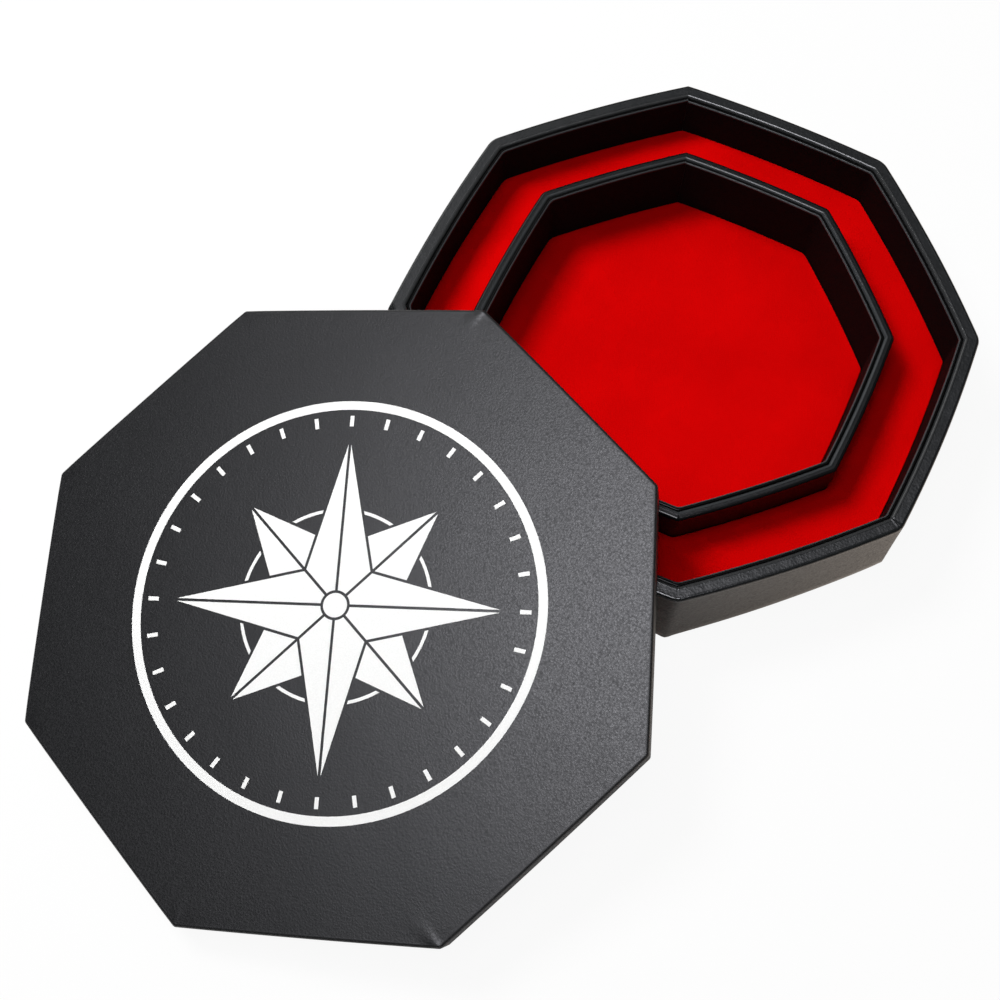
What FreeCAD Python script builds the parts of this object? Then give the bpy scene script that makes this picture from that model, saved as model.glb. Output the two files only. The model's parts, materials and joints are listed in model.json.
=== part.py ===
import FreeCAD, Part
import math
import os

# Octagonal dice tray with a raised outer channel, a lower rolling floor and a lift-off lid.
# Millimetres. The origin is the middle of the tray's underside, +Z is up, and the tray's flat
# sides face +X, -X, +Y and -Y. The lid leans on the tray's front left corner.

# Covering materials
leather = 0.8
liner_skin = 0.5
velvet = 0.8

# Tray, in plan
tray_across_flats = 292.0
wall_board = 6.3
liner_card = 1.3
channel_width = 31.1
ring_board = 3.4
side_bow = 2.2

# Tray, in height
tray_height = 54.0
wall_liner_drop = 1.4
ring_height = 50.3
ring_liner_drop = 0.5
channel_floor_height = 27.8
rolling_floor_height = 13.7
base_board = 4.2
channel_card = 2.0
floor_card = 2.2

# Lid
lid_height = 20.0
lid_clearance = 1.8
lid_side_bow = 0.4
skirt_board = 3.6
skirt_lining = 0.9
lid_top_board = 3.0
lid_lining_card = 1.0

# Edges, turned-over leatherette and fits
board_rounding = 0.8
board_corner = 6.2
lid_board_corner = 2.2
inside_corner = 0.1
velvet_rounding = 0.75
liner_corner = 1.6
liner_roundness = 0.96
wall_turn_in = 15.0
under_turn_in = 15.0
liner_turn_over = 12.0
lid_turn_in = 9.0
pad_gap = 0.3
strip_joint = 0.3

# How the lid leans: its low edge stands on the table, this far from the tray's nearest corner
lid_foot_distance = 226.5
lid_side_shift = -1.9
lean_gap = 0.05

# Printed rose on the lid
ink = 0.2
rose_turn = 45.0
rose_radius = 104.0
rose_band = 4.5
rose_tick_count = 32
rose_tick_length = 5.5
rose_tick_width = 2.0
rose_tick_radius = 93.5
rose_long_tip = 87.0
rose_long_waist = 24.0
rose_short_tip = 70.0
rose_short_waist = 30.0
rose_circle_radius = 49.0
rose_circle_band = 3.0
rose_line = 1.4
rose_hub = 6.0

SIDES = 8
SPARE = 1.0
FLAT = 1e-4
LEAN_ROUNDS = 15
RIM_POINTS = 4000
STEP = 2 * math.pi / SIDES
BACK_CORNER = math.radians(112.5)
FRONT_CORNER = math.radians(247.5)
UP = FreeCAD.Vector(0, 0, 1)


def side_pull(flat, bow):
    """How far behind the middle a bowed side's arc is centred."""
    half_side = (flat - bow) * math.tan(STEP / 2)
    return (half_side**2 + bow**2) / (2 * bow) - flat


# Plan sizes that follow from the driving ones, each a distance from the middle to mid-side
wall_out = tray_across_flats / 2
wall_board_out = wall_out - leather
wall_board_in = wall_board_out - wall_board
wall_in = wall_board_in - leather
liner_out = wall_in
liner_in = liner_out - 2 * liner_skin - liner_card
ring_out = liner_in - channel_width
ring_board_out = ring_out - leather
ring_board_in = ring_board_out - ring_board
ring_in = ring_board_in - leather
ring_liner_in = ring_in - 2 * liner_skin - liner_card
lid_in = wall_out + lid_clearance
skirt_lining_out = lid_in + skirt_lining
skirt_board_in = skirt_lining_out + leather
skirt_board_out = skirt_board_in + skirt_board
lid_out = skirt_board_out + leather
tray_pull = side_pull(wall_out, side_bow)
lid_pull = side_pull(lid_out, lid_side_bow)
tray_corner = (wall_out - side_bow) / math.cos(STEP / 2)

# Heights that follow
base_top = leather + base_board
wrap_rounding = board_rounding + leather
wrap_corner = board_corner + leather
lid_wrap_corner = lid_board_corner + leather


def direction(angle):
    return FreeCAD.Vector(math.cos(angle), math.sin(angle), 0)


def octagon_face(flat, radius, height, pull):
    """An octagon with bowed sides and rounded corners; flat is from the middle to mid-side."""
    away = pull * math.cos(STEP / 2)
    reach = pull + flat - radius
    corner_centre = math.sqrt(away**2 - pull**2 + reach**2) - away
    points = []
    for k in range(SIDES):
        outward = direction((k + 0.5) * STEP)
        centre = outward * corner_centre
        start = centre + (centre + direction(k * STEP) * pull).normalize() * radius
        end = centre + (centre + direction((k + 1) * STEP) * pull).normalize() * radius
        points.append((start, centre + outward * radius, end))
    edges = []
    for k in range(SIDES):
        start, middle, end = points[k]
        following = points[(k + 1) % SIDES][0]
        edges.append(Part.Arc(start, middle, end).toShape())
        edges.append(Part.Arc(end, direction((k + 1) * STEP) * flat, following).toShape())
    face = Part.Face(Part.Wire(edges))
    face.translate(UP * height)
    return face


def prism(flat, radius, bottom, top, pull=tray_pull):
    return octagon_face(flat, radius, bottom, pull).extrude(UP * (top - bottom))


def band(outer, inner, outer_radius, inner_radius, bottom, top, pull=tray_pull):
    """An octagonal ring, from its inner to its outer sides."""
    hole = prism(inner, inner_radius, bottom, top, pull)
    return prism(outer, outer_radius, bottom, top, pull).cut(hole)


def edges_at(shape, height):
    """The edges that lie flat at one height."""
    found = []
    for edge in shape.Edges:
        box = edge.BoundBox
        if abs(box.ZMin - height) < FLAT and abs(box.ZMax - height) < FLAT:
            found.append(edge)
    return found


def rounded(shape, radius, *heights):
    """The same shape with every flat edge at these heights rounded."""
    edges = []
    for height in heights:
        edges.extend(edges_at(shape, height))
    return shape.makeFillet(radius, edges)


def wedge(k, reach, bottom, top):
    """The eighth of the plan that holds side k, cut along the mitres."""
    corners = [FreeCAD.Vector(0, 0, bottom)]
    for turn in (-0.5, 0.5):
        corners.append(direction((k + turn) * STEP) * reach + UP * bottom)
    corners.append(corners[0])
    return Part.Face(Part.makePolygon(corners)).extrude(UP * (top - bottom))


def mitred(ring, k):
    """Board k of a ring of boards that meet in mitres."""
    box = ring.BoundBox
    return ring.common(wedge(k, 2 * box.XMax, box.ZMin - SPARE, box.ZMax + SPARE))


def slit(outer, bottom, top):
    """The thin gap where a strip's two ends meet at the back corner."""
    gap = Part.makeBox(2 * outer, strip_joint, top - bottom + 2 * SPARE)
    gap.translate(FreeCAD.Vector(0, -strip_joint / 2, bottom - SPARE))
    gap.rotate(FreeCAD.Vector(0, 0, 0), UP, math.degrees(BACK_CORNER))
    return gap


def boards(outer, inner, bottom, top, name):
    """Eight mitred boards with sanded top edges."""
    ring = band(outer, inner, board_corner, inside_corner, bottom, top)
    ring = rounded(ring, board_rounding, top)
    return {f"{name}_{k + 1}": mitred(ring, k) for k in range(SIDES)}


def wall():
    """The outer wall: boards, and the leatherette drawn round them and under the base."""
    top = tray_height
    pieces = boards(wall_board_out, wall_board_in, base_top, top - leather, "wall_board")
    core = band(wall_board_out, wall_board_in, board_corner, inside_corner, leather, top - leather)
    core = rounded(core, board_rounding, top - leather)
    skin = band(wall_out, wall_in, wrap_corner, inside_corner, 0, top)
    skin = rounded(skin, wrap_rounding, top)
    skin = skin.cut(core)
    skin = skin.cut(prism(wall_board_in, inside_corner, 0, top - wall_turn_in))
    turned_under = band(wall_out, wall_out - under_turn_in, wrap_corner, inside_corner, 0, leather)
    pieces["wall_wrap"] = skin.fuse(turned_under).removeSplitter()
    return pieces


def base():
    """The bottom board, and the felt sheet let in flush with the turned-under leatherette."""
    sheet = prism(wall_out - under_turn_in, inside_corner, 0, leather)
    board = prism(wall_board_out, board_corner, leather, base_top)
    return {"base_sheet": sheet, "base_board": board}


def liner(outer, top, name):
    """A scored card strip in leatherette that stands against a wall, its ends at the back."""
    inner = outer - 2 * liner_skin - liner_card
    card_out = outer - liner_skin
    card_in = inner + liner_skin
    thickness = outer - inner
    radius = liner_corner
    card = band(card_out, card_in, radius, radius, base_top, top - liner_skin)
    whole = band(outer, inner, radius, radius, base_top, top)
    whole = rounded(whole, liner_roundness * thickness / 2, top)
    open_back = band(outer, card_in, radius, radius, base_top, top - liner_turn_over)
    skin = whole.cut(card).cut(open_back)
    joint = slit(outer, base_top, top)
    return {f"{name}_card": card.cut(joint), f"{name}_wrap": skin.cut(joint)}


def ring():
    """The inner ring between the channel and the rolling floor."""
    top = ring_height
    pieces = boards(ring_board_out, ring_board_in, base_top, top - leather, "ring_board")
    core = band(ring_board_out, ring_board_in, board_corner, inside_corner, base_top, top - leather)
    core = rounded(core, board_rounding, top - leather)
    skin = band(ring_out, ring_in, wrap_corner, inside_corner, base_top, top)
    skin = rounded(skin, wrap_rounding, top)
    skin = skin.cut(core)
    pieces["ring_wrap"] = skin.cut(prism(ring_board_in, inside_corner, base_top, top - wall_turn_in))
    return pieces


def channel():
    """The raised outer floor: foam, card, and velvet drawn over the card's edges."""
    outer = liner_in - pad_gap
    inner = ring_out + pad_gap
    top = channel_floor_height
    card_top = top - velvet
    card_bottom = card_top - channel_card
    radius = liner_corner
    foam = band(outer, inner, radius, wrap_corner, base_top, card_bottom)
    card = band(outer - velvet, inner + velvet, radius, wrap_corner, card_bottom, card_top)
    cloth = band(outer, inner, radius, wrap_corner, card_bottom, top)
    cloth = rounded(cloth, velvet_rounding, top)
    return {"channel_riser": foam, "channel_board": card, "channel_velvet": cloth.cut(card)}


def rolling_floor():
    """The low floor inside the ring: riser, card, and velvet drawn over the card's edges."""
    outer = ring_liner_in - pad_gap
    top = rolling_floor_height
    card_top = top - velvet
    card_bottom = card_top - floor_card
    radius = liner_corner
    riser = prism(outer, radius, base_top, card_bottom)
    card = prism(outer - velvet, radius, card_bottom, card_top)
    cloth = prism(outer, radius, card_bottom, top)
    cloth = rounded(cloth, velvet_rounding, top)
    return {"floor_riser": riser, "floor_board": card, "floor_velvet": cloth.cut(card)}


def lid_prism(flat, radius, bottom, top):
    return prism(flat, radius, bottom, top, lid_pull)


def lid_shell():
    """The lid's boards and the leatherette over them, with the skirt's foot at height 0."""
    inside_top = lid_height - leather - lid_top_board
    foot = leather
    turned_in = foot + lid_turn_in
    pieces = {}
    skirt = lid_prism(skirt_board_out, lid_board_corner, foot, inside_top)
    skirt = skirt.cut(lid_prism(skirt_board_in, inside_corner, foot, inside_top))
    for k in range(SIDES):
        pieces[f"lid_skirt_board_{k + 1}"] = mitred(skirt, k)
    panel = lid_prism(skirt_board_out, lid_board_corner, inside_top, lid_height - leather)
    panel = rounded(panel, board_rounding, lid_height - leather)
    pieces["lid_top_board"] = panel
    skin = lid_prism(lid_out, lid_wrap_corner, 0, lid_height)
    skin = rounded(skin, wrap_rounding, lid_height)
    skin = rounded(skin, leather, 0)
    skin = skin.cut(lid_prism(skirt_lining_out, inside_corner, 0, turned_in))
    skin = skin.cut(lid_prism(skirt_board_in, inside_corner, turned_in, inside_top))
    pieces["lid_wrap"] = skin.cut(skirt).cut(panel)
    return pieces


def lid_lining():
    """What lines the lid inside: a velvet panel under the top, and a strip round the skirt."""
    inside_top = lid_height - leather - lid_top_board
    card_bottom = inside_top - lid_lining_card
    velvet_bottom = card_bottom - velvet
    panel_out = skirt_lining_out - pad_gap
    strip = lid_prism(skirt_lining_out, inside_corner, leather, velvet_bottom)
    strip = strip.cut(lid_prism(lid_in, liner_corner, leather, velvet_bottom))
    card = lid_prism(panel_out - velvet, inside_corner, card_bottom, inside_top)
    cloth = lid_prism(panel_out, inside_corner, velvet_bottom, inside_top).cut(card)
    return {"lid_skirt_lining": strip, "lid_lining_card": card, "lid_lining_velvet": cloth}


def polygon(points):
    return Part.Face(Part.makePolygon(points + points[:1]))


def star_halves(first, tip, waist):
    """A four-pointed star as eight half points, each from the middle to a waist and a tip."""
    halves = []
    middle = FreeCAD.Vector(0, 0, 0)
    for k in range(4):
        along = first + k * math.pi / 2
        for side in (-1, 1):
            corner = direction(along + side * math.pi / 4) * waist
            halves.append(polygon([middle, corner, direction(along) * tip]))
    return halves


def disc(radius):
    return Part.Face(Part.Wire(Part.makeCircle(radius)))


def tick(angle):
    """One short bar of the rose's scale, pointing at the middle."""
    along = direction(angle)
    across = direction(angle + math.pi / 2) * (rose_tick_width / 2)
    inner = along * (rose_tick_radius - rose_tick_length / 2)
    outer = along * (rose_tick_radius + rose_tick_length / 2)
    return polygon([inner - across, outer - across, outer + across, inner + across])


def lid_print():
    """A compass rose in white ink: a ring, its scale, eight split points, a circle and a hub."""
    turn = math.radians(rose_turn)
    long_star = star_halves(turn, rose_long_tip, rose_long_waist)
    short_star = star_halves(turn + STEP, rose_short_tip, rose_short_waist)
    front = long_star[0].multiFuse(long_star[1:])
    whole = front.multiFuse(short_star)
    hub = disc(rose_hub + rose_line)
    areas = [disc(rose_radius).cut(disc(rose_radius - rose_band)), disc(rose_hub)]
    areas.extend(tick(k * 2 * math.pi / rose_tick_count) for k in range(rose_tick_count))
    for half in long_star:
        areas.append(half.makeOffset2D(-rose_line / 2, 2).cut(hub))
    for half in short_star:
        areas.append(half.cut(front).Faces[0].makeOffset2D(-rose_line / 2, 2))
    circle = disc(rose_circle_radius).cut(disc(rose_circle_radius - rose_circle_band))
    for arc in circle.cut(whole).Faces:
        areas.append(arc.makeOffset2D(-rose_line / 2, 2))
    inked = [face.extrude(UP * ink) for area in areas for face in area.Faces]
    whole_print = Part.makeCompound(inked)
    whole_print.translate(UP * lid_height)
    return {"lid_print": whole_print}


def outside(x, y, flat, pull):
    """How far a point lies beyond the bowed sides of an octagon, less than 0 inside it."""
    beyond = -flat
    for k in range(SIDES):
        centre = direction(k * STEP) * pull
        beyond = max(beyond, math.hypot(x + centre.x, y + centre.y) - pull - flat)
    return beyond


def lean_angle():
    """The tilt at which the skirt's inside foot rests on the tray's two front edges."""
    rim = octagon_face(wall_out, wrap_corner, 0, tray_pull).OuterWire.discretize(RIM_POINTS)
    uphill = direction(FRONT_CORNER - math.pi)
    left = direction(FRONT_CORNER - math.pi / 2)
    places = []
    for point in rim:
        from_foot = point.dot(uphill) + tray_corner + lid_foot_distance
        places.append((from_foot, point.dot(left) - lid_side_shift))
    lean = 0.0
    for _ in range(LEAN_ROUNDS):
        touching = []
        for from_foot, across in places:
            along = from_foot / math.cos(lean) - lid_out
            if outside(along, across, lid_in, lid_pull) > 0:
                touching.append(from_foot)
        lean = math.atan((tray_height + lean_gap + foot_lift(lean)) / min(touching))
    return lean


def foot_lift(lean):
    """How far the rounded foot would hang over the table, so that it can be let down."""
    return leather * (math.sin(lean) + math.cos(lean) - 1)


def lid_place():
    """From the lid lying level about the origin to the lid leaning on the tray."""
    lean = lean_angle()
    uphill_angle = FRONT_CORNER - math.pi
    uphill = direction(uphill_angle)
    left = direction(uphill_angle + math.pi / 2)
    turn = FreeCAD.Rotation(UP, math.degrees(uphill_angle) - 90)
    tilt = FreeCAD.Rotation(FreeCAD.Vector(1, 0, 0), math.degrees(lean))
    rotation = turn.multiply(tilt)
    foot = uphill * -(tray_corner + lid_foot_distance) + left * lid_side_shift
    foot = foot - UP * foot_lift(lean)
    offset = foot - rotation.multVec(FreeCAD.Vector(0, -lid_out, 0))
    return FreeCAD.Placement(offset, rotation)


def build():
    """Every piece by its node name, in its place."""
    pieces = {}
    pieces.update(base())
    pieces.update(wall())
    pieces.update(liner(liner_out, tray_height - wall_liner_drop, "wall_liner"))
    pieces.update(channel())
    pieces.update(ring())
    pieces.update(liner(ring_in, ring_height - ring_liner_drop, "ring_liner"))
    pieces.update(rolling_floor())
    place = lid_place().toMatrix()
    for group in (lid_shell(), lid_lining(), lid_print()):
        for name, shape in group.items():
            pieces[name] = shape.transformed(place, True)
    return pieces


def save(pieces):
    os.makedirs("parts", exist_ok=True)
    for name, shape in pieces.items():
        if len(shape.Solids) == 1:
            shape = shape.Solids[0]
        shape.exportStep(f"parts/{name}.step")


pieces = build()
save(pieces)
print("pieces", len(pieces))
print("lid leans by", round(math.degrees(lean_angle()), 3), "degrees")
print("lid across flats", round(2 * lid_out, 3))
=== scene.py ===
# %% [markdown]
# # An octagonal dice tray with its lid leaning on it
#
# The real tray is a box of fibreboard walls on a bottom board, covered in black leatherette.
# A lower ring of the same boards stands inside it. Between wall and ring lies a raised channel
# of red velvet, and inside the ring a lower rolling floor. The lid is a shallow cap.
#
# The frame holds each piece at its real size and place, so this script only dresses it: pieces
# that are soft or finely finished are modelled anew, and the boards get their material.

# %% Load the frame
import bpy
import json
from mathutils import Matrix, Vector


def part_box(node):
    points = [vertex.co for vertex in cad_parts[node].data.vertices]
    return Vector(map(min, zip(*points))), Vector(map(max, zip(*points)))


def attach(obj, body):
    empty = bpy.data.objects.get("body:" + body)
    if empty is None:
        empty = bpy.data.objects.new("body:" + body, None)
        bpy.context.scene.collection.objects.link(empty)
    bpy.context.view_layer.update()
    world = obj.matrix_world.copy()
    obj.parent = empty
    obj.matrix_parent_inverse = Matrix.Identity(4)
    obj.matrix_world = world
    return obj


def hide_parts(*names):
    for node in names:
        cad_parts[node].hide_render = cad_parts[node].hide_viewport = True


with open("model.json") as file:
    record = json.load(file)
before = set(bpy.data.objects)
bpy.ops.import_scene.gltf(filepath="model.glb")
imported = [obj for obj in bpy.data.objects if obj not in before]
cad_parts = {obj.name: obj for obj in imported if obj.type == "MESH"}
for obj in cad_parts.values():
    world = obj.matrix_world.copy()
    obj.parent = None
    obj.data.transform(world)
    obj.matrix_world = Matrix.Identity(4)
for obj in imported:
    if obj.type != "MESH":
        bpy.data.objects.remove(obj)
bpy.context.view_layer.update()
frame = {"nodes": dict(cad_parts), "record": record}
print("nodes in the frame:", len(frame["nodes"]))

# %% Modules and units
import json
import math

import bmesh
import bpy
from mathutils import Matrix, Vector, noise

MM = 0.001
SIDES = 8
STEP = 2 * math.pi / SIDES
print("one millimetre is", MM, "of Blender's units")

# %% [markdown]
# ## Sizes
#
# A size that a node of the frame has is read from its box, so that the visible piece and the
# solid under it agree. The thicknesses of the sheets can't be read from a box, so they are
# named here, in millimetres like all sizes of the tray and the lid. A flat is the distance
# from the middle to one of the octagon's sides.

# %% Sizes of the tray
def side_of(node):
    """How far a node's flat side is from the middle."""
    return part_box(node)[1][0] / MM


def top_of(node):
    """How high a node reaches."""
    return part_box(node)[1][2] / MM


leather = 0.8
liner_skin = 0.5
liner_thickness = 2.3
velvet = 0.8
base_top = top_of("base_board")
wall_out = side_of("wall_wrap")
wall_top = top_of("wall_wrap")
wall_in = side_of("wall_liner_wrap")
wall_board_out = wall_out - leather
liner_in = wall_in - liner_thickness
liner_top = top_of("wall_liner_wrap")
ring_out = side_of("ring_wrap")
ring_top = top_of("ring_wrap")
ring_in = side_of("ring_liner_wrap")
ring_liner_top = top_of("ring_liner_wrap")
channel_top = top_of("channel_velvet")
floor_top = top_of("floor_velvet")
print("tray", round(2 * wall_out, 1), "mm across flats and", round(wall_top, 1), "mm high")

# %% [markdown]
# ## The octagon's outline
#
# The tray's sides aren't straight: the boards stand in a slight bow, about 2 mm at the middle
# of a side, and each corner is a little differently round. A polygon with a bevel couldn't do
# both, so one function gives the outline at any distance from the middle, made of wide arcs
# for the sides and small ones for the corners. Every covering of the tray is then a grid bent
# round that outline, so that all of them share one plan and stay parallel.

# %% A bowed side
BACK_CORNER = math.radians(112.5)
side_bow = 2.2


def direction(angle):
    return Vector((math.cos(angle), math.sin(angle)))


def side_pull(flat, bow):
    """How far behind the middle a bowed side's arc is centred."""
    half_side = (flat - bow) * math.tan(STEP / 2)
    return (half_side**2 + bow**2) / (2 * bow) - flat


tray_pull = side_pull(wall_out, side_bow)
print("a side's arc has a radius of", round(tray_pull + wall_out), "mm")

# %% A corner between two bowed sides
def corner_arc(flat, radius, pull, k):
    """The centre of corner k's arc and the directions in which it meets its two sides."""
    outward = direction(BACK_CORNER + k * STEP)
    away = pull * math.cos(STEP / 2)
    reach = pull + flat - radius
    centre = outward * (math.sqrt(max(away**2 - pull**2 + reach**2, 0)) - away)
    meets = []
    for turn in (-0.5, 0.5):
        arc_centre = direction(BACK_CORNER + (k + turn) * STEP) * -pull
        meets.append((centre - arc_centre).normalized())
    return centre, meets[0], outward, meets[1]


def swing(start, end, share):
    """A direction between two others."""
    return start.slerp(end, share) if share > 0 else start


sharp_corner = corner_arc(wall_out, 0.0, tray_pull, 0)[0]
print("a sharp corner would be", round(sharp_corner.length, 1), "mm from the middle")

# %% The whole outline
SIDE_STEPS = 22
CORNER_STEPS = 4
SIDE_COLUMNS = SIDE_STEPS + 2 * CORNER_STEPS
ROUND_STEPS = SIDES * SIDE_COLUMNS
ROUNDEST = 0.5


def outline(flat, radii, pull):
    """Points round the octagon from corner 0, against the clock, and the way each faces.

    Near the middle of the piece a corner's radius is at most the share ROUNDEST of the flat.
    """
    places = []
    for k in range(SIDES):
        radius = min(radii[k], ROUNDEST * flat)
        centre, _, outward, leaving = corner_arc(flat, radius, pull, k)
        for step in range(CORNER_STEPS):
            facing = swing(outward, leaving, step / CORNER_STEPS)
            places.append((centre + facing * radius, facing))
        next_radius = min(radii[(k + 1) % SIDES], ROUNDEST * flat)
        next_centre, arriving, next_outward, _ = corner_arc(flat, next_radius, pull, k + 1)
        side_centre = direction(BACK_CORNER + (k + 0.5) * STEP) * -pull
        for step in range(SIDE_STEPS):
            share = (1 - math.cos(math.pi * step / SIDE_STEPS)) / 2
            facing = swing(leaving, arriving, share)
            places.append((side_centre + facing * (pull + flat), facing))
        for step in range(CORNER_STEPS):
            facing = swing(arriving, next_outward, step / CORNER_STEPS)
            places.append((next_centre + facing * next_radius, facing))
    places.append(places[0])
    return places


print("points round the outline:", ROUND_STEPS)

# %% [markdown]
# ## Bending a grid round the outline
#
# A covering has the same section all the way round, so it is a plain grid whose rows follow
# the section and whose columns follow the outline. The section is a list of points: how far
# out, how high, and how tight the sheet is drawn there. That last number is kept with each
# vertex in a layer, and the leatherette reads it: a tight bend has less grain and more shine.
# A number above taut marks an edge for a painted highlight, a lighter colour on the rounding.

# %% Points of a section
sharpest = 0.15
TAUT = 1.0
PAINTED_HIGHLIGHT = 2.0


def inward_radii(radii, inset):
    """Corner radii of a line that runs inside another one, parallel to it."""
    return [max(radius - inset, sharpest) for radius in radii]


def arc(flat, height, radius, start, end, steps, tightness_and_highlight=TAUT):
    """Part of a section's rounding, with angles in degrees from outwards to upwards."""
    points = []
    for step in range(steps + 1):
        angle = math.radians(start + (end - start) * step / steps)
        points.append((flat + radius * math.cos(angle), height + radius * math.sin(angle), tightness_and_highlight))
    return points


print("a rounding of 4 steps has", len(arc(10.0, 10.0, 1.0, 0, 90, 4)), "points")

# %% The bent grid
def bend_round(section, radii_at, pull, shape=None):
    """A bmesh grid whose rows follow a section and whose columns go round.

    A section's points are (flat, height), or (flat, height, tightness) as arc() gives them;
    a tightness above taut marks an edge for a painted highlight.
    radii_at gives the corner radii at a flat, and shape may move each point.
    """
    bm = bmesh.new()
    drawn_and_highlit = bm.verts.layers.float.new("drawn_and_highlit")
    bmesh.ops.create_grid(bm, x_segments=ROUND_STEPS, y_segments=len(section) - 1, size=1.0)
    loops = {}
    for point in section:
        if point[0] not in loops:
            loops[point[0]] = outline(point[0], radii_at(point[0]), pull)
    for vert in bm.verts:
        column = round((vert.co.x + 1) / 2 * ROUND_STEPS)
        row = round((vert.co.y + 1) / 2 * (len(section) - 1))
        flat, height, *tightness_and_highlight = section[row]
        place, facing = loops[flat][column]
        place = Vector((place.x, place.y, height))
        vert[drawn_and_highlit] = tightness_and_highlight[0] if tightness_and_highlight else 0.0
        if shape:
            place = shape(place, facing, column, flat)
        vert.co = place * MM
    return bm


def close_up(bm, ends_open=False):
    """Joins the grid's edges where they meet and turns all faces outwards."""
    bmesh.ops.remove_doubles(bm, verts=bm.verts, dist=0.001 * MM)
    if ends_open:
        rim = [edge for edge in bm.edges if edge.is_boundary]
        bmesh.ops.holes_fill(bm, edges=rim, sides=0)
    bmesh.ops.recalc_face_normals(bm, faces=bm.faces)
    return bm


print("a covering is", ROUND_STEPS, "faces round")

# %% From a bmesh to a piece
SHARP_EDGE = math.radians(40.0)


def finish_piece(bm, name, body, material, node, matrix=None):
    """Turns a bmesh into a piece that rides on a body and stands for a node of the frame."""
    if matrix:
        bm.transform(matrix)
    mesh = bpy.data.meshes.new(name)
    bm.to_mesh(mesh)
    bm.free()
    mesh.materials.append(material)
    mesh.shade_smooth()
    mesh.set_sharp_from_angle(angle=SHARP_EDGE)
    piece = bpy.data.objects.new(name, mesh)
    bpy.context.scene.collection.objects.link(piece)
    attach(piece, body)
    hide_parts(node)
    print(name, "has", len(mesh.polygons), "faces")
    return piece


print("edges over", round(math.degrees(SHARP_EDGE)), "degrees are shaded sharp")

# %% [markdown]
# ## Materials
#
# One helper turns a hex colour to Blender's linear values and another adds a node. Patterns
# read Object coordinates, which are metres here, so a grain of 1 mm is a scale of 1000.

# %% Helpers for materials
def colour(hex_code):
    """A written sRGB colour as linear values."""
    values = []
    for at in (1, 3, 5):
        share = int(hex_code[at : at + 2], 16) / 255
        values.append(share / 12.92 if share <= 0.04045 else ((share + 0.055) / 1.055) ** 2.4)
    return (*values, 1.0)


def add(tree, kind, inputs, **settings):
    """Adds a node; an input is a value, or a socket to link from."""
    made = tree.nodes.new(kind)
    for name, value in settings.items():
        setattr(made, name, value)
    for name, value in inputs.items():
        if isinstance(value, bpy.types.NodeSocket):
            tree.links.new(value, made.inputs[name])
        else:
            made.inputs[name].default_value = value
    return made


def new_material(name):
    """An empty material and the object's coordinates in it."""
    material = bpy.data.materials.new(name)
    material.use_nodes = True
    tree = material.node_tree
    tree.nodes.clear()
    place = add(tree, "ShaderNodeTexCoord", {}).outputs["Object"]
    return material, tree, place


print("pure red is", [round(v, 3) for v in colour("#FF0000")])

# %% [markdown]
# ### PU leatherette, embossed
#
# A film of polyurethane on cloth, embossed with a fine pebble grain. It is black, but its
# grain scatters the lamps, so flat parts look dark grey and only tight bends shine. The
# pebbles are a Voronoi pattern, bent by noise so that they differ in shape and size, with
# finer dimples on top. The real grain is about half a millimetre wide. That is too fine to
# show at this distance, so it is drawn about twice as coarse.

# %% The pebble grain
DIMPLE_SHARE = 0.35
DRIFT_WIDTH = 3
DRIFT_SHARE = 0.6


def pebbled(tree, place, grain):
    """The height of pebbles that are grain millimetres wide, with finer dimples on them."""
    drift_scale = 1 / (DRIFT_WIDTH * grain * MM)
    drift = add(tree, "ShaderNodeTexNoise", {"Vector": place, "Scale": drift_scale, "Detail": 2.0})
    shifted = add(
        tree,
        "ShaderNodeVectorMath",
        {0: drift.outputs["Color"], 1: (DRIFT_SHARE * grain * MM,) * 3, 2: place},
        operation="MULTIPLY_ADD",
    )
    pebbles = add(
        tree,
        "ShaderNodeTexVoronoi",
        {"Vector": shifted.outputs[0], "Scale": 1 / (grain * MM)},
        feature="SMOOTH_F1",
    )
    fine = add(
        tree, "ShaderNodeTexNoise", {"Vector": place, "Scale": 4 / (grain * MM), "Detail": 3.0}
    )
    relief = add(
        tree,
        "ShaderNodeMath",
        {0: fine.outputs[0], 1: DIMPLE_SHARE, 2: pebbles.outputs["Distance"]},
        operation="MULTIPLY_ADD",
    )
    return relief.outputs[0]


print("the dimples are", DIMPLE_SHARE, "as high as the pebbles")

# %% Grain and creases as relief
CREASE_WIDTH = 7.0
STRETCHED_FLAT = 0.25


def leather_relief(tree, place, relief, drawn_and_highlit, depth, crease):
    """Bumps for the grain and for slack folds under it, with less grain where it is drawn."""
    left = add(
        tree, "ShaderNodeMapRange", {"Value": drawn_and_highlit, "To Min": 1.0, "To Max": STRETCHED_FLAT}
    )
    pressed = add(tree, "ShaderNodeMath", {0: relief, 1: left.outputs[0]}, operation="MULTIPLY")
    slack = add(
        tree,
        "ShaderNodeTexNoise",
        {"Vector": place, "Scale": 1 / (CREASE_WIDTH * MM), "Detail": 3.0},
    )
    folds = add(
        tree, "ShaderNodeBump", {"Height": slack.outputs[0], "Distance": max(crease, 0.001) * MM}
    )
    bump = add(
        tree,
        "ShaderNodeBump",
        {"Height": pressed.outputs[0], "Distance": depth * MM, "Normal": folds.outputs[0]},
        invert=True,
    )
    return bump.outputs[0]


print("slack folds are", CREASE_WIDTH, "mm wide")

# %% Colour of a worn film
PATCH_WIDTH = 22.0


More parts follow.
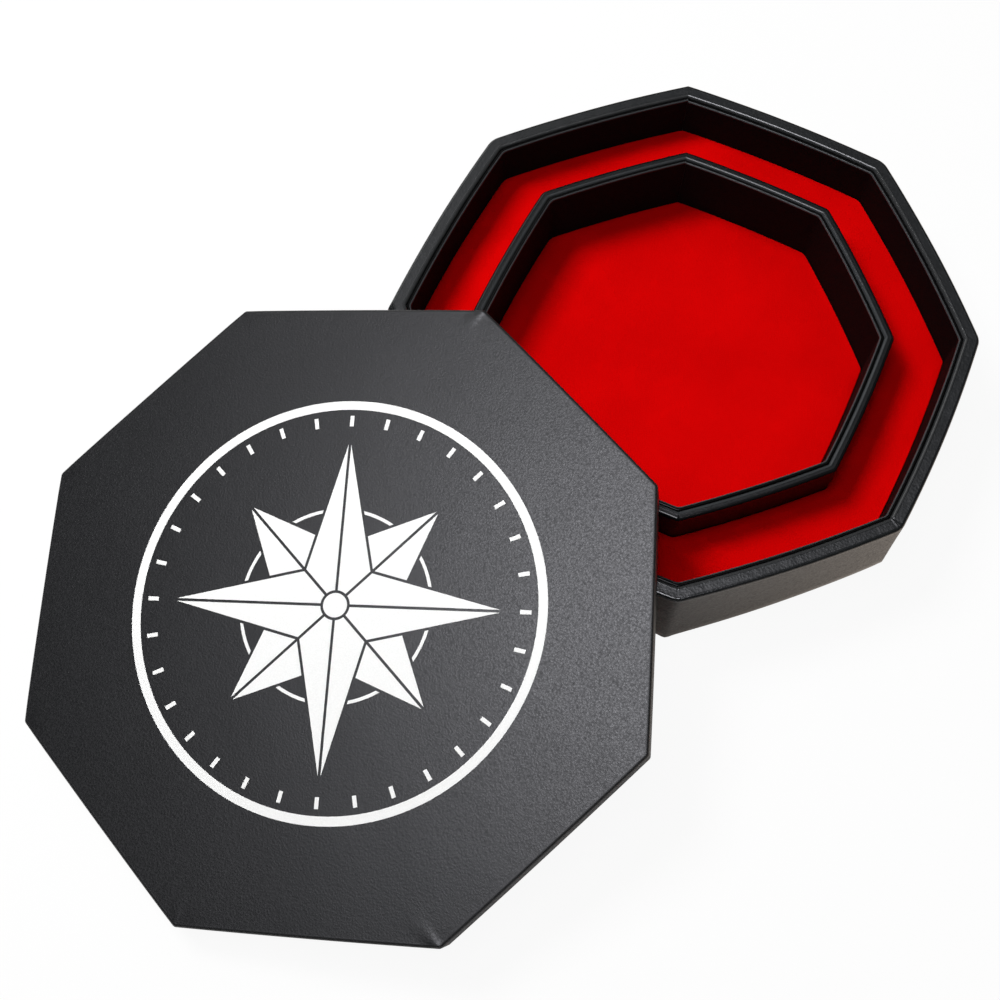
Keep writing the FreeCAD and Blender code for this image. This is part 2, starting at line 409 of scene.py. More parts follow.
def leather_colour(tree, place, drawn_and_highlit, base, worn, highlight_colour):
    """Black that is a little greyer in patches, and lighter on marked edges as a painted highlight.
    """
    patches = add(
        tree,
        "ShaderNodeTexNoise",
        {"Vector": place, "Scale": 1 / (PATCH_WIDTH * MM), "Detail": 4.0},
    )
    shade = add(
        tree,
        "ShaderNodeMix",
        {"Factor": patches.outputs[0], 6: colour(base), 7: colour(worn)},
        data_type="RGBA",
    )
    # A marked edge gets the lighter colour, a painted highlight.
    highlight_share = add(tree, "ShaderNodeMapRange", {"Value": drawn_and_highlit, "From Min": TAUT, "From Max": PAINTED_HIGHLIGHT})
    tone_and_highlight = add(
        tree,
        "ShaderNodeMix",
        {"Factor": highlight_share.outputs[0], 6: shade.outputs[2], 7: colour(highlight_colour)},
        data_type="RGBA",
    )
    return tone_and_highlight.outputs[2]


print("worn patches are about", PATCH_WIDTH, "mm wide")

# %% Black leatherette
PIT_ROUGHNESS = 0.25
PIT_MEAN = 0.14


def leatherette(name, base, worn, highlight_colour, grain, depth, rough, polished, specular, crease=0.0):
    """grain is the pebble size, depth and crease are reliefs, all in millimetres.

    rough is the mean roughness of flat parts and polished that of tight bends.
    """
    material, tree, place = new_material(name)
    drawn_and_highlit = add(tree, "ShaderNodeAttribute", {}, attribute_name="drawn_and_highlit").outputs["Fac"]
    relief = pebbled(tree, place, grain)
    uneven_gloss = add(
        tree,
        "ShaderNodeMath",
        {0: relief, 1: PIT_ROUGHNESS, 2: rough - PIT_MEAN},
        operation="MULTIPLY_ADD",
    )
    gloss = add(
        tree, "ShaderNodeMix", {"Factor": drawn_and_highlit, "A": uneven_gloss.outputs[0], "B": polished}
    )
    film = add(
        tree,
        "ShaderNodeBsdfPrincipled",
        {
            "Base Color": leather_colour(tree, place, drawn_and_highlit, base, worn, highlight_colour),
            "Roughness": gloss.outputs[0],
            "Specular IOR Level": specular,
            "IOR": 1.5,
            "Normal": leather_relief(tree, place, relief, drawn_and_highlit, depth, crease),
        },
    )
    add(tree, "ShaderNodeOutputMaterial", {"Surface": film.outputs["BSDF"]})
    return material


print("pits add", PIT_MEAN, "of roughness on average")

# %% [markdown]
# Four of them cover this tray. The wall's is the coarsest and shines where it bends, with a
# painted highlight along the rim's inner edge. The ring's is flatter and darker, so that it
# takes less of the red beside it, and has the same painted highlight on its inner edge. The
# lid's is the finest: its top is one broad, even sheet, and it must stay dark grey. The liners'
# film is thin and matt, so their faces sink to black, with a painted highlight along the top
# edge.

# %% The four leatherettes
# Coarse pebbles catch the light as a soft sparkle along the rim; the rim's lighter inner edge
# is a painted highlight.
wall_leather = leatherette(
    "embossed_black_leatherette",
    base="#0F1112",
    worn="#1F2123",
    highlight_colour="#303132",
    grain=1.1,
    depth=0.14,
    rough=0.44,
    polished=0.24,
    specular=0.7,
    crease=0.35,
)
# A shallow emboss looks smoother and lets the ring's two edges draw thin bright lines; the
# lighter colour on its inner edge is a painted highlight.
ring_leather = leatherette(
    "lightly_embossed_black_leatherette",
    base="#08090A",
    worn="#0E1012",
    highlight_colour="#343638",
    grain=0.9,
    depth=0.12,
    rough=0.5,
    polished=0.24,
    specular=0.4,
    crease=0.2,
)
# A fine grain with no gloss at the bends makes the top one wide, soft gradient.
lid_leather = leatherette(
    "fine_grained_black_leatherette",
    base="#060708",
    worn="#0A0B0D",
    highlight_colour="#101113",
    grain=0.9,
    depth=0.055,
    rough=0.44,
    polished=0.5,
    specular=0.8,
    crease=0.05,
)
# A matt film gives back hardly any light, so that only its top edge is seen, by the lighter
# colour of a painted highlight.
liner_leather = leatherette(
    "matt_black_liner_leatherette",
    base="#020202",
    worn="#040404",
    highlight_colour="#3C3D3F",
    grain=0.7,
    depth=0.05,
    rough=0.85,
    polished=0.2,
    specular=0.15,
)
for film in (wall_leather, ring_leather, lid_leather, liner_leather):
    print("made", film.name)

# %% [markdown]
# ### Short-pile velvet
#
# Woven cloth with a cut pile. The pile drinks the light that falls straight in and gives some
# back at a grazing view, which is what the sheen does. Its lay differs from place to place,
# so the red is a little lighter and darker in soft patches. Real tufts are a few tenths of a
# millimetre wide, and are drawn at 0.7 mm so that they show.

# %% Red velvet
TUFT = 0.7
TUFT_SHARE = 0.35
PILE_DEPTH = 0.25
LAY_WIDTH = 45.0


def pile_velvet(name, light, deep):
    """A saturated red with no gloss, that softens every shadow's edge."""
    material, tree, place = new_material(name)
    lay = add(
        tree, "ShaderNodeTexNoise", {"Vector": place, "Scale": 1 / (LAY_WIDTH * MM), "Detail": 3.0}
    )
    tufts = add(
        tree, "ShaderNodeTexNoise", {"Vector": place, "Scale": 1 / (TUFT * MM), "Detail": 4.0}
    )
    mixed = add(
        tree,
        "ShaderNodeMath",
        {0: tufts.outputs[0], 1: TUFT_SHARE, 2: lay.outputs[0]},
        operation="MULTIPLY_ADD",
    )
    blend = add(
        tree, "ShaderNodeMapRange", {"Value": mixed.outputs[0], "From Min": 0.4, "From Max": 0.95}
    )
    shade = add(
        tree,
        "ShaderNodeMix",
        {"Factor": blend.outputs[0], 6: colour(deep), 7: colour(light)},
        data_type="RGBA",
    )
    bump = add(
        tree,
        "ShaderNodeBump",
        {"Height": tufts.outputs[0], "Distance": PILE_DEPTH * MM, "Strength": 0.6},
    )
    pile = add(
        tree,
        "ShaderNodeBsdfPrincipled",
        {
            "Base Color": shade.outputs[2],
            "Roughness": 0.95,
            "Specular IOR Level": 0.02,
            "Normal": bump.outputs[0],
            "Sheen Weight": 0.15,
            "Sheen Roughness": 0.5,
            "Sheen Tint": colour("#FF0606"),
        },
    )
    add(tree, "ShaderNodeOutputMaterial", {"Surface": pile.outputs["BSDF"]})
    return material


red_velvet = pile_velvet("short_pile_red_velvet", "#D60203", "#C40102")
print("made", red_velvet.name)

# %% [markdown]
# ### Boards, card, paper, felt, foam and ink
#
# Except for the ink these hardly show, but the tray can be looked at from below and from
# inside the lid. Each is one colour broken up by speckle of the right size, with a roughness
# and a relief to match, so one function makes them all.

# %% A plain stock
def speckled(name, light, dark, speck, depth, rough, sheen=0.0):
    """speck is the size of the flecks and depth their relief, in millimetres."""
    material, tree, place = new_material(name)
    flecks = add(
        tree, "ShaderNodeTexNoise", {"Vector": place, "Scale": 1 / (speck * MM), "Detail": 5.0}
    )
    spread = add(
        tree, "ShaderNodeMapRange", {"Value": flecks.outputs[0], "From Min": 0.35, "From Max": 0.65}
    )
    shade = add(
        tree,
        "ShaderNodeMix",
        {"Factor": spread.outputs[0], 6: colour(dark), 7: colour(light)},
        data_type="RGBA",
    )
    bump = add(tree, "ShaderNodeBump", {"Height": flecks.outputs[0], "Distance": depth * MM})
    stock = add(
        tree,
        "ShaderNodeBsdfPrincipled",
        {
            "Base Color": shade.outputs[2],
            "Roughness": rough,
            "Normal": bump.outputs[0],
            "Sheen Weight": sheen,
            "Sheen Roughness": 0.5,
        },
    )
    add(tree, "ShaderNodeOutputMaterial", {"Surface": stock.outputs["BSDF"]})
    return material


# Sawn fibreboard looks like fine tan flour, and pressed card like grey lint.
# Lining paper is smooth and a shade lighter than the felt, whose fibres stand up and catch
# light at the edges. Cut foam is pitted, so it is the deepest black.
# The ink lies on the grain as a thin film: white, nearly flat, a little satin.
finishes = {
    "fibreboard": speckled("sawn_fibreboard", "#A98A62", "#8A6C48", 1.2, 0.05, 0.8),
    "grey_card": speckled("pressed_grey_card", "#9C9A94", "#86847E", 2.0, 0.03, 0.85),
    "lining_paper": speckled("black_lining_paper", "#1B1B1D", "#121214", 0.8, 0.02, 0.7),
    "base_felt": speckled("needled_black_felt", "#1A1A1C", "#0E0E10", 0.5, 0.15, 0.95, 0.2),
    "riser_foam": speckled("cut_black_foam", "#242426", "#0C0C0E", 0.9, 0.20, 0.9),
    "white_ink": speckled("screen_printed_white_ink", "#FDFDFC", "#F6F6F5", 0.6, 0.02, 0.45),
}
print("made", len(finishes), "plain stocks")

# %% [markdown]
# ## The wall's leatherette
#
# One strip goes up the outside, over the rim and down the inside, where the liner hides its
# edge, and its lower edge is turned under the bottom board. Its section is drawn once, from
# the edge under the tray round to the same edge again, and bent round the outline. Both
# faces of the sheet are in the section, so it needs no Solidify and has its true thickness.

# %% Section of a covering
wrap_rounding = 1.6
turn_in = 15.0
shoulder = 0.5
FACE_ROWS = 8
RIM_ROWS = 4
BEND_STEPS = 6
INNER_BEND_STEPS = 3
FOOT_STEPS = 3


def covering_section(outer, inner, bottom, top):
    """Up the outside, over the rim and down the inside, then back along the inner face."""
    inside_rounding = wrap_rounding - leather
    lower = top - wrap_rounding
    section = []
    for row in range(FACE_ROWS):
        section.append((outer, bottom + (lower - bottom) * row / FACE_ROWS))
    section.append((outer, lower - shoulder))
    section += arc(outer - wrap_rounding, lower, wrap_rounding, 0, 90, BEND_STEPS)
    flat_from = outer - wrap_rounding - shoulder
    flat_to = inner + wrap_rounding + shoulder
    for row in range(RIM_ROWS + 1):
        section.append((flat_from + (flat_to - flat_from) * row / RIM_ROWS, top))
    # The rim's inner rounding is marked for a painted highlight.
    section += arc(inner + wrap_rounding, lower, wrap_rounding, 90, 180, BEND_STEPS, PAINTED_HIGHLIGHT)
    section += [(inner, lower - shoulder), (inner, top - turn_in)]
    section.append((inner + leather, top - turn_in))
    section += arc(inner + wrap_rounding, lower, inside_rounding, 180, 90, INNER_BEND_STEPS)
    section += arc(outer - wrap_rounding, lower, inside_rounding, 90, 0, INNER_BEND_STEPS)
    return section


print("a wall section has", len(covering_section(wall_out, wall_in, leather, wall_top)), "points")

# %% [markdown]
# A hand-covered board is never quite even. Slow noise moves the sheet by a tenth or two of a
# millimetre. At the corners the folded leatherette stands up in a small ridge or sinks into a
# crease. A ridge is given by its corner and by how many columns of the grid it lies off it.

# %% Unevenness
def gentle(place, reach, amount, seed):
    """A slow unevenness, reach long and amount high."""
    spot = Vector(place) / reach + Vector((seed, 0, 0))
    return noise.noise(spot) * amount


def columns_from(corner, column):
    """How many columns of the grid lie between a corner and a column, signed."""
    off = column - corner * SIDE_COLUMNS
    return (off + ROUND_STEPS // 2) % ROUND_STEPS - ROUND_STEPS // 2


def ridge_height(ridges, column):
    """How far the ridges at a column stand up."""
    rise = 0.0
    for (corner, off), height in ridges.items():
        if columns_from(corner, column) == off:
            rise += height
    return rise


def uneven(place, facing, reach, amount, seed, top, rise):
    """Moves a point in and out, and on the rim up and down and by a ridge's rise."""
    out = gentle(place, reach, amount, seed)
    place.x += facing.x * out
    place.y += facing.y * out
    if place.z > top - wrap_rounding:
        place.z += gentle(place, 0.6 * reach, 0.7 * amount, seed + 5) - 0.35 * amount + rise
    return place


print("column 1 is", columns_from(7, 1), "columns past corner 7")

# %% [markdown]
# The wall's outer face isn't the same at its foot as at the rim. The foot's corners are
# sharper, and at the two corners of the front right side the foot stands out, as boards do
# that were glued with a little play. Corner 2, on the left, is a little too far forward along
# its whole height.

# %% Shape of the wall's outer face
wall_corners = [3.5, 12.0, 4.0, 9.0, 11.0, 10.0, 9.0, 12.0]
foot_corners = [3.5, 8.0, 4.0, 6.0, 9.0, 4.0, 6.0, 8.0]
# corner, spread in mm, columns that it fades over, bearing in degrees, share at the rim
foot_spread = [(4, 3.0, 26, 292.5, 0.0), (5, 5.0, 14, 45.0, 0.0), (2, 3.6, 13, 270.0, 1.0)]
wall_ridges = {
    (0, 0): 0.25,
    (0, 1): 0.30,
    (0, -1): -0.15,
    (4, 0): -0.10,
    (4, 1): 0.06,
    (5, 0): -0.25,
    (5, 1): 0.15,
    (5, -1): 0.12,
    (5, 3): -0.12,
}
on_the_face = 0.1
foot_line = outline(wall_out, foot_corners, tray_pull)
rim_line = outline(wall_out, wall_corners, tray_pull)


def uneven_wall(place, facing, column, flat):
    """Blends the outer face from the rim's outline to the foot's, and spreads its foot."""
    if flat > wall_out - on_the_face:
        share = 1 - place.z / wall_top
        place += ((foot_line[column][0] - rim_line[column][0]) * share).to_3d()
        for corner, spread, columns, bearing, at_rim in foot_spread:
            near = max(0.0, 1 - abs(columns_from(corner, column)) / columns)
            pushed = spread * near * (share + at_rim * (1 - share))
            place += (direction(math.radians(bearing)) * pushed).to_3d()
    rise = ridge_height(wall_ridges, column)
    return uneven(place, facing, reach=60, amount=0.18, seed=3.0, top=wall_top, rise=rise)


def wall_radii(flat):
    return inward_radii(wall_corners, wall_out - flat)


print("wall corners are", min(wall_corners), "to", max(wall_corners), "mm round")

# %% Wall covering
under_turn = 15.0
wall_section = [(wall_out - under_turn, 0.0)]
wall_section += arc(wall_out - leather, leather, leather, -90, 0, FOOT_STEPS)
wall_section += covering_section(wall_out, wall_in, leather, wall_top)[1:]
wall_section += [(wall_board_out, leather), (wall_out - under_turn, leather)]
wall_section += wall_section[:1]
wall_bm = close_up(bend_round(wall_section, wall_radii, tray_pull, uneven_wall))
wall_wrap = finish_piece(
    wall_bm, "wall_wrap_skin", "tray", wall_leather, "wall_wrap"
)

# %% [markdown]
# ## The ring's leatherette
#
# The inner ring is covered in the same way, but stands on the bottom board, so its strip has
# no edge turned under. Its back corner is sharp and stands up where the strip's ends meet.

# %% Ring covering
ring_corners = [2.0, 6.0, 4.0, 4.0, 4.0, 4.0, 4.0, 5.0]
ring_ridges = {(0, 0): 0.20, (0, 1): 0.25, (0, -1): -0.10, (4, 0): 0.15, (4, -1): -0.10}


def uneven_ring(place, facing, column, flat):
    rise = ridge_height(ring_ridges, column)
    return uneven(place, facing, reach=50, amount=0.15, seed=5.0, top=ring_top, rise=rise)


def ring_radii(flat):
    return inward_radii(ring_corners, ring_out - flat)


ring_section = covering_section(ring_out, ring_in, base_top, ring_top)
ring_section += [(ring_out - leather, base_top), (ring_out, base_top)]
ring_bm = close_up(bend_round(ring_section, ring_radii, tray_pull, uneven_ring))
ring_wrap = finish_piece(
    ring_bm, "ring_wrap_skin", "tray", ring_leather, "ring_wrap"
)

# %% [markdown]
# ## The liner strips
#
# A strip of card in thin leatherette is scored, folded into an octagon and pushed in, with its
# two ends at the back corner. They never meet at quite the same height: here one end stands
# higher and the other sinks. So the strip is a grid with open ends that are filled, and a
# shape function lifts or lowers its top towards each end.

# %% Section of a liner
turn_over = 12.0
liner_rounding = 0.7
flat_edge = 0.2
LINER_ROWS = 4
LINER_STEPS = 5
CARD_STEPS = 4


def liner_section(outer, bottom, top):
    """A card strip's skin: inside face, rounded top, and a short way down the back."""
    inner = outer - liner_thickness
    half = liner_thickness / 2
    core = half - liner_skin
    lower = top - liner_rounding
    section = []
    for row in range(LINER_ROWS + 1):
        section.append((inner, bottom + (lower - shoulder - bottom) * row / LINER_ROWS))
    # The liner's inner top rounding is marked for a painted highlight.
    section += arc(inner + liner_rounding, lower, liner_rounding, 180, 90, LINER_STEPS, PAINTED_HIGHLIGHT)
    section.append((inner + liner_rounding + flat_edge, top))
    section.append((outer - liner_rounding - flat_edge, top))
    section += arc(outer - liner_rounding, lower, liner_rounding, 90, 0, LINER_STEPS)
    section += [(outer, lower - shoulder), (outer, top - turn_over)]
    section.append((outer - liner_skin, top - turn_over))
    section += arc(outer - half, top - half, core, 0, 180, CARD_STEPS)
    section += [(inner + liner_skin, bottom), (inner, bottom)]
    return section


print("a liner section has", len(liner_section(wall_in, base_top, liner_top)), "points")

# %% Bending a liner
liner_corners = [1.2, 6.0, 4.0, 4.0, 4.0, 4.0, 3.0, 5.0]
strip_gap = 0.5
liner_wave = 0.15
liner_wave_reach = 45
risen_share = 0.7
sunk_share = 0.3
rubbed_end = 0.35
rubbed_height = 3
held_foot = 1


def liner_radii(flat):
    return liner_corners


def bend_liner(outer, bottom, top, end_step, seed):
    """A liner whose ends differ in height by end_step and leave a gap between them."""

    def shape(place, facing, column, flat):
        along = Vector((-facing.y, facing.x))
        if column == 0:
            place.x += along.x * strip_gap
            place.y += along.y * strip_gap
        if column == ROUND_STEPS:
            place.x -= along.x * strip_gap
            place.y -= along.y * strip_gap
        if place.z > bottom + held_foot:
            risen = max(0.0, 1 - column / SIDE_COLUMNS)
            sunk = max(0.0, 1 - (ROUND_STEPS - column) / SIDE_COLUMNS)
            place.z += gentle(place, liner_wave_reach, liner_wave, seed) + end_step * (
                risen_share * risen - sunk_share * sunk
            )
            if place.z > top - rubbed_height and column in (0, ROUND_STEPS):
                place.z -= rubbed_end
        return place

    section = liner_section(outer, bottom, top)
    return close_up(bend_round(section, liner_radii, tray_pull, shape), ends_open=True)


print("the liner's ends leave a gap of", 2 * strip_gap, "mm")

# %% Liners
for outer, top, end_step, seed, name, node, card in (
    (wall_in, liner_top, 1.4, 1.0, "wall_liner_skin", "wall_liner_wrap", "wall_liner_card"),
    (ring_in, ring_liner_top, 0.9, 4.0, "ring_liner_skin", "ring_liner_wrap", "ring_liner_card"),
):
    strip = finish_piece(
        bend_liner(outer, base_top, top, end_step, seed),
        name,
        "tray",
        liner_leather,
        node,
    )

# %% [markdown]
# ## Velvet of the channel and the rolling floor
#
# Each velvet is drawn over the edge of a card. It lies flat in the middle and rolls over the
# card's edge, where the pile closes the gap to the wall. The flat part is a few rows wide, so
# that slow noise can lift it by a tenth of a millimetre, as glued cloth does. It is glued down
# all over, so a cloth simulation would find nothing to do.

# %% Helpers for the velvets
pad_gap = 0.3
pad_corners = [2.0, 8.0, 5.0, 5.0, 5.0, 5.0, 4.0, 6.0]
velvet_rounding = 0.75
velvet_lift = 0.16
velvet_reach = 28
velvet_rows = 10
VELVET_STEPS = 4
on_the_top = 0.01


def soft_top(height, seed):
    """A shape that lets the cloth's upper face rise and fall a little."""

    def shape(place, facing, column, flat):
        if place.z > height - on_the_top:
            place.z += gentle(place, velvet_reach, velvet_lift, seed) - velvet_lift / 2
        return place

    return shape


def pad_radii(flat):
    return pad_corners


print("the velvet rises and falls by", velvet_lift / 2, "mm")

# %% Channel velvet
channel_card = 2.0
channel_out = liner_in - pad_gap
channel_in = ring_out + pad_gap
channel_under = channel_top - velvet - channel_card
channel_bend = channel_top - velvet_rounding
section = [(channel_out, channel_under)]
section += arc(channel_out - velvet_rounding, channel_bend, velvet_rounding, 0, 90, VELVET_STEPS)
flat_width = channel_out - channel_in - 2 * velvet_rounding
for row in range(1, velvet_rows):
    section.append((channel_out - velvet_rounding - flat_width * row / velvet_rows, channel_top))
section += arc(channel_in + velvet_rounding, channel_bend, velvet_rounding, 90, 180, VELVET_STEPS)
section += [(channel_in, channel_under), (channel_in + velvet, channel_under)]
section += [(channel_in + velvet, channel_top - velvet)]
section += [(channel_out - velvet, channel_top - velvet)]
section += [(channel_out - velvet, channel_under), (channel_out, channel_under)]
channel_cloth = finish_piece(
    close_up(bend_round(section, pad_radii, tray_pull, soft_top(channel_top, 11.0))),
    "channel_velvet_cloth",
    "tray",
    red_velvet,
    "channel_velvet",
)

# %% Velvet of the rolling floor
floor_card = 2.2
floor_out = ring_in - liner_thickness - pad_gap
floor_under = floor_top - velvet - floor_card
floor_bend = floor_top - velvet_rounding
section = [(floor_out, floor_under)]
section += arc(floor_out - velvet_rounding, floor_bend, velvet_rounding, 0, 90, VELVET_STEPS)
for row in range(1, 2 * velvet_rows):
    section.append(((floor_out - velvet_rounding) * (1 - row / (2 * velvet_rows)), floor_top))
section += [(0.0, floor_top), (0.0, floor_top - velvet)]
section += [(floor_out - velvet, floor_top - velvet), (floor_out - velvet, floor_under)]
section += [(floor_out, floor_under)]
floor_cloth = finish_piece(
    close_up(bend_round(section, pad_radii, tray_pull, soft_top(floor_top, 17.0))),
    "floor_velvet_cloth",
    "tray",
    red_velvet,
    "floor_velvet",
)

# %% [markdown]
# ## Felt under the tray and foam under the channel
#
# The felt is let in flush with the turned-under leatherette. The foam can't be seen in the
# finished tray, but it is a real block, so it is there too, with its edges a little eased.

# %% Felt
plain_corner = 1.6
felt_ease = 0.2


def plain_radii(flat):
    return [plain_corner] * SIDES


felt_out = side_of("base_sheet")
section = [(0.0, 0.0), (felt_out * 0.5, 0.0), (felt_out - felt_ease, 0.0)]
section += [(felt_out, felt_ease), (felt_out, leather - felt_ease)]
section += [(felt_out - felt_ease, leather), (felt_out * 0.5, leather), (0.0, leather)]
felt = finish_piece(
    close_up(bend_round(section, plain_radii, tray_pull)),
    "base_felt_sheet",
    "tray",
    finishes["base_felt"],
    "base_sheet",
)
print("the felt is", round(2 * felt_out, 1), "mm wide")

# %% Foam
foam_top = channel_under
foam_foot = 0.4
foam_ease = 0.6
section = [(channel_in + foam_foot, base_top), (channel_out - foam_foot, base_top)]
section += [(channel_out, base_top + foam_ease), (channel_out, foam_top - foam_ease)]
section += [(channel_out - foam_ease, foam_top), (channel_in + foam_ease, foam_top)]
section += [(channel_in, foam_top - foam_ease), (channel_in, base_top + foam_ease)]
section += section[:1]
foam = finish_piece(
    close_up(bend_round(section, plain_radii, tray_pull)),
    "channel_foam",
    "tray",
    finishes["riser_foam"],
    "channel_riser",
)
print("the foam is", round(foam_top - base_top, 1), "mm high")

# %% [markdown]
# ## The lid
#
# The lid's shell is modelled lying level, with its foot at height 0, and one matrix then leans
# it as the frame has it. Its leatherette is drawn over the edge and the corners: there the
# material is in the way, so the top dips a little towards each corner and small pleats run
# over it. They fade out within a finger's width.

# %% Lid sizes and place
lid_out = 153.9
lid_height = 20.0
lid_bow = 0.4
skirt_board_in = 149.5
skirt_lining_out = 148.7
lid_board_top = 3.0
lid_turn_in = 9.0
lid_lean = math.radians(11.628)
lid_turn = math.radians(-22.5)
lid_origin = Vector((-86.800, -214.519, 30.875)) * MM
lid_matrix = (
    Matrix.Translation(lid_origin)
    @ Matrix.Rotation(lid_turn, 4, "Z")
    @ Matrix.Rotation(lid_lean, 4, "X")
)
lid_pull = side_pull(lid_out, lid_bow)
print("lid leans by", round(math.degrees(lid_lean), 2), "degrees")

# %% Dips and folds at the lid's corners
lid_corner_reach = lid_out / math.cos(STEP / 2)
corner_dip = 0.4
dip_reach = 13.0
fold_width = 1.5
# corner, angle off its diagonal in radians, depth in mm (raised if negative), length in mm
lid_folds = [
    (0, -0.30, -0.15, 9),
    (1, 0.30, -0.15, 9),
    (2, 0.32, -0.70, 15),
    (2, 0.75, 0.20, 12),
    (3, -0.25, -0.15, 9),
    (4, 0.20, -0.15, 9),
    (5, 0.30, -0.12, 9),
    (6, -0.15, -0.30, 14),
    (7, -0.38, -0.70, 18),
    (7, -0.80, 0.20, 12),
]


def nearest_corner(place):
    """Distance to the nearest corner, seen from above, the angle off its diagonal, its number.

    On the lid, corner 0 is the one at 22.5 degrees, before the lid is turned.
    """
    angle = math.atan2(place.y, place.x) - STEP / 2
    off = (angle + STEP / 2) % STEP - STEP / 2
    reach = math.hypot(place.x, place.y)
    along = lid_corner_reach - reach * math.cos(off)
    across = reach * math.sin(off)
    corner = round(angle / STEP) % SIDES
    return math.hypot(along, across), math.atan2(across, max(along, 0.01)), corner


def fold_at(distance, bearing, corner):
    """How deep the folds are at a place, given from its nearest corner."""
    depth = 0.0
    for fold_corner, fold_bearing, fold_depth, reach in lid_folds:
        if fold_corner != corner:
            continue
        aside = distance * math.sin(bearing - fold_bearing)
        along = max(0.0, 1 - distance / reach) * min(1.0, distance / 2)
        depth += fold_depth * along * math.exp(-((aside / fold_width) ** 2))
    return depth


print("the lid has", len(lid_folds), "folds at its corners")

# %% Lid covering
lid_corners = [2.6] * SIDES
lid_rows = 26
row_crowding = 1.8
lid_wave = 0.10
lid_wave_reach = 30
skirt_rows = (14.0, 9.0, 4.0)
inner_row = 80.0


def lid_radii(flat):
    return inward_radii(lid_corners, lid_out - flat)


def drawn_leather(place, facing, column, flat):
    """Dips the lid's top towards its corners, with the folds and a slow wave."""
    distance, bearing, corner = nearest_corner(place)
    near = max(0.0, 1 - distance / dip_reach)
    if place.z > lid_height - wrap_rounding:
        place.z -= corner_dip * near**2 + fold_at(distance, bearing, corner)
        place.z += gentle(place, lid_wave_reach, lid_wave, 13.0) - lid_wave / 2
    return place


section = [(0.0, lid_height)]
inner_flat = lid_out - wrap_rounding
lid_bend = lid_height - wrap_rounding
for row in range(1, lid_rows):
    section.append((inner_flat * (1 - (1 - row / lid_rows) ** row_crowding), lid_height))
section += arc(inner_flat, lid_bend, wrap_rounding, 90, 0, BEND_STEPS)
section += [(lid_out, height) for height in skirt_rows]
section += arc(lid_out - leather, leather, leather, 0, -90, FOOT_STEPS)
section += arc(skirt_lining_out + leather, leather, leather, -90, -180, FOOT_STEPS)
section += [(skirt_lining_out, leather + lid_turn_in), (skirt_board_in, leather + lid_turn_in)]
section += [(skirt_board_in, leather), (lid_out - leather, leather)]
section += arc(inner_flat, lid_bend, wrap_rounding - leather, 0, 90, INNER_BEND_STEPS)
section += [(inner_row, lid_height - leather), (0.0, lid_height - leather)]
lid_bm = close_up(bend_round(section, lid_radii, lid_pull, drawn_leather))
lid_wrap = finish_piece(
    lid_bm, "lid_wrap_skin", "lid", lid_leather, "lid_wrap", lid_matrix
)

# %% [markdown]
# ## The lid's lining
#
# A card in the same velvet as the tray's is glued under the lid's board. It is made like the
# rolling floor, upside down.

# %% Lid lining
lining_card = 1.0
lining_lift = 0.12
lining_top = lid_height - leather - lid_board_top
lining_under = lining_top - lining_card - velvet
lining_out = skirt_lining_out - pad_gap
lining_bend = lining_under + velvet_rounding
section = [(0.0, lining_under)]
for row in range(1, velvet_rows):
    section.append(((lining_out - velvet_rounding) * row / velvet_rows, lining_under))
section += arc(lining_out - velvet_rounding, lining_bend, velvet_rounding, -90, 0, VELVET_STEPS)
section += [(lining_out, lining_top), (lining_out - velvet, lining_top)]
section += [(lining_out - velvet, lining_under + velvet), (0.0, lining_under + velvet)]


def soft_under(place, facing, column, flat):
    """Lets the cloth's lower face rise and fall a little."""
    if place.z < lining_under + on_the_top:
        place.z -= gentle(place, lid_wave_reach, lining_lift, 21.0) - lining_lift / 2
    return place


lining_cloth = finish_piece(
    close_up(bend_round(section, plain_radii, lid_pull, soft_under)),
    "lid_lining_cloth",
    "lid",
    red_velvet,
    "lid_lining_velvet",
    lid_matrix,
)

# %% [markdown]
# ## Nodes that keep their shape
#
# Boards, cards, the skirt's paper and the ink have the right shape already, so each takes the
# finish of its material slot from the record.

# %% Finishes for the frame's own pieces
slot_of = {row["node"]: row["material_slot"] for row in frame["record"]["subparts"]}
dressed = 0
for name, node in frame["nodes"].items():
    finish = finishes.get(slot_of.get(name))
    if finish is None:
        continue
    node.data.materials.clear()
    node.data.materials.append(finish)
    dressed += 1
print("frame pieces with a new finish:", dressed)

# %% [markdown]
# ## The table
#
# The table is white and matt, and takes the tray's shadow. Its colour alone can't make a pure
# white background, so to the camera most of it is a plain glow of strength 1. Reflections
# see that glow too, as a pool of light that is weaker towards the lid, so that the near wall
# goes slowly from dark to light. A little of the matt table stays, so the shadow does too.

# %% Table top
CAMERA_GLOW = 0.93
POOL_WAY = (0.707, 0.707, 0.0)
POOL_START = -0.09
POOL_END = 0.08
POOL_DARKEST = 0.05
POOL_BRIGHTEST = 0.9


